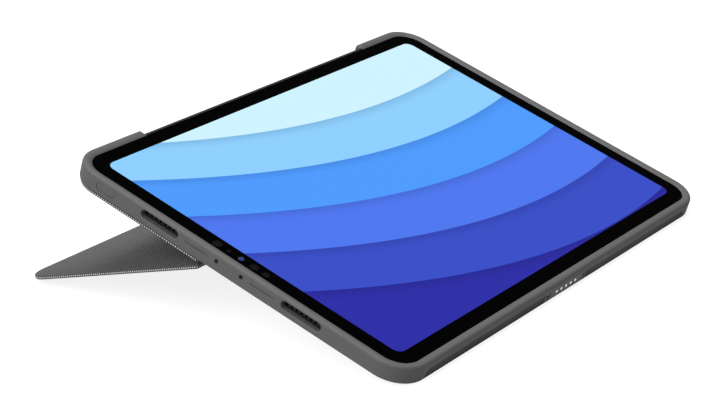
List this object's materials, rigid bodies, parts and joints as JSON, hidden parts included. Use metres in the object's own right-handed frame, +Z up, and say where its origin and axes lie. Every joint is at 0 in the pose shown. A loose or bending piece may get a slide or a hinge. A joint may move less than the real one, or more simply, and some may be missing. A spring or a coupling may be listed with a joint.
{
  "type": "tablet case with kickstand",
  "caption": "Slim folio case holding a tablet: soft rim with openings, fabric-covered back, fold-out kickstand and keyboard dock contacts.",
  "frame": {"origin": "on the table, under the middle of the case as it stands on its lower front edge and its kickstand", "axes": "+X along the tablet's long side, towards the charging port; +Y from the lower front edge towards the kickstand's foot; +Z up"},
  "size_m": [0.253, 0.2082, 0.0647],
  "materials": {
    "rim_elastomer": "matt soft-touch moulding",
    "strip_plastic": "fine matt",
    "housing_plastic": "fine matt",
    "plate_plastic": "spark-eroded matt",
    "woven_fabric": "woven polyester, two-tone grey",
    "microfibre": "short napped lining",
    "gold_contact": "gold plated",
    "nickel": "nickel plated magnet",
    "steel": "stamped steel",
    "flex_film": "polyimide film",
    "tablet_aluminium": "bead blasted, anodised",
    "cover_glass": "polished glass over black ink",
    "lit_display": "lit display behind glass",
    "camera_glass": "coated lens glass",
    "sensor_window": "smoked window",
    "battery_foil": "laminated pouch",
    "circuit_board": "solder mask",
    "speaker_plastic": "moulded",
    "copper_coil": "enamelled wire"
  },
  "bodies": {
    "case": {"bumper_frame": "rim_elastomer", "dock_strips": "strip_plastic", "contact_housing": "housing_plastic", "dock_contacts": "gold_contact", "dock_magnets": "nickel", "lid_magnets": "nickel", "contact_flex": "flex_film", "pin_carrier": "speaker_plastic", "spring_pins": "gold_contact", "inner_lining": "microfibre", "back_plate": "plate_plastic", "catch_discs": "steel", "upper_board": "plate_plastic", "upper_fabric": "woven_fabric", "camera_surround": "rim_elastomer", "crease_fabric": "woven_fabric", "hinge_base_left": "steel", "hinge_base_right": "steel", "hinge_pin_left": "steel", "hinge_pin_right": "steel", "base_screws": "steel", "tablet_shell": "tablet_aluminium", "cover_glass": "cover_glass", "display_panel": "lit_display", "battery_cells": "battery_foil", "logic_board": "circuit_board", "speaker_boxes": "speaker_plastic", "port_socket": "steel", "stylus_coil": "copper_coil", "rear_contacts": "gold_contact", "camera_bump": "tablet_aluminium", "camera_lenses": "camera_glass", "front_camera": "camera_glass", "front_sensors": "sensor_window"},
    "kickstand": {"kickstand_core": "plate_plastic", "kickstand_fabric": "woven_fabric", "kickstand_lining": "microfibre", "kickstand_magnets": "nickel", "hinge_leaf_left": "steel", "hinge_leaf_right": "steel", "leaf_rivets": "steel"},
    "power_button": {"power_cap": "rim_elastomer", "power_key": "tablet_aluminium"},
    "volume_up_button": {"volume_up_cap": "rim_elastomer", "volume_up_key": "tablet_aluminium"},
    "volume_down_button": {"volume_down_cap": "rim_elastomer", "volume_down_key": "tablet_aluminium"}
  },
  "joints": [
    {"name": "kickstand_hinge", "type": "hinge", "parent": "case", "child": "kickstand", "pos_m": [0, 0.00122, 0.03124], "axis": [1, 0, 0], "range_deg": [-146, 0]},
    {"name": "power_press", "type": "slide", "parent": "case", "child": "power_button", "axis": [1, 0, 0], "range_m": [0, 0.0003], "stiffness_N_per_m": 6000},
    {"name": "volume_up_press", "type": "slide", "parent": "case", "child": "volume_up_button", "axis": [0, -0.9502, -0.3117], "range_m": [0, 0.0003], "stiffness_N_per_m": 6000},
    {"name": "volume_down_press", "type": "slide", "parent": "case", "child": "volume_down_button", "axis": [0, -0.9502, -0.3117], "range_m": [0, 0.0003], "stiffness_N_per_m": 6000}
  ]
}
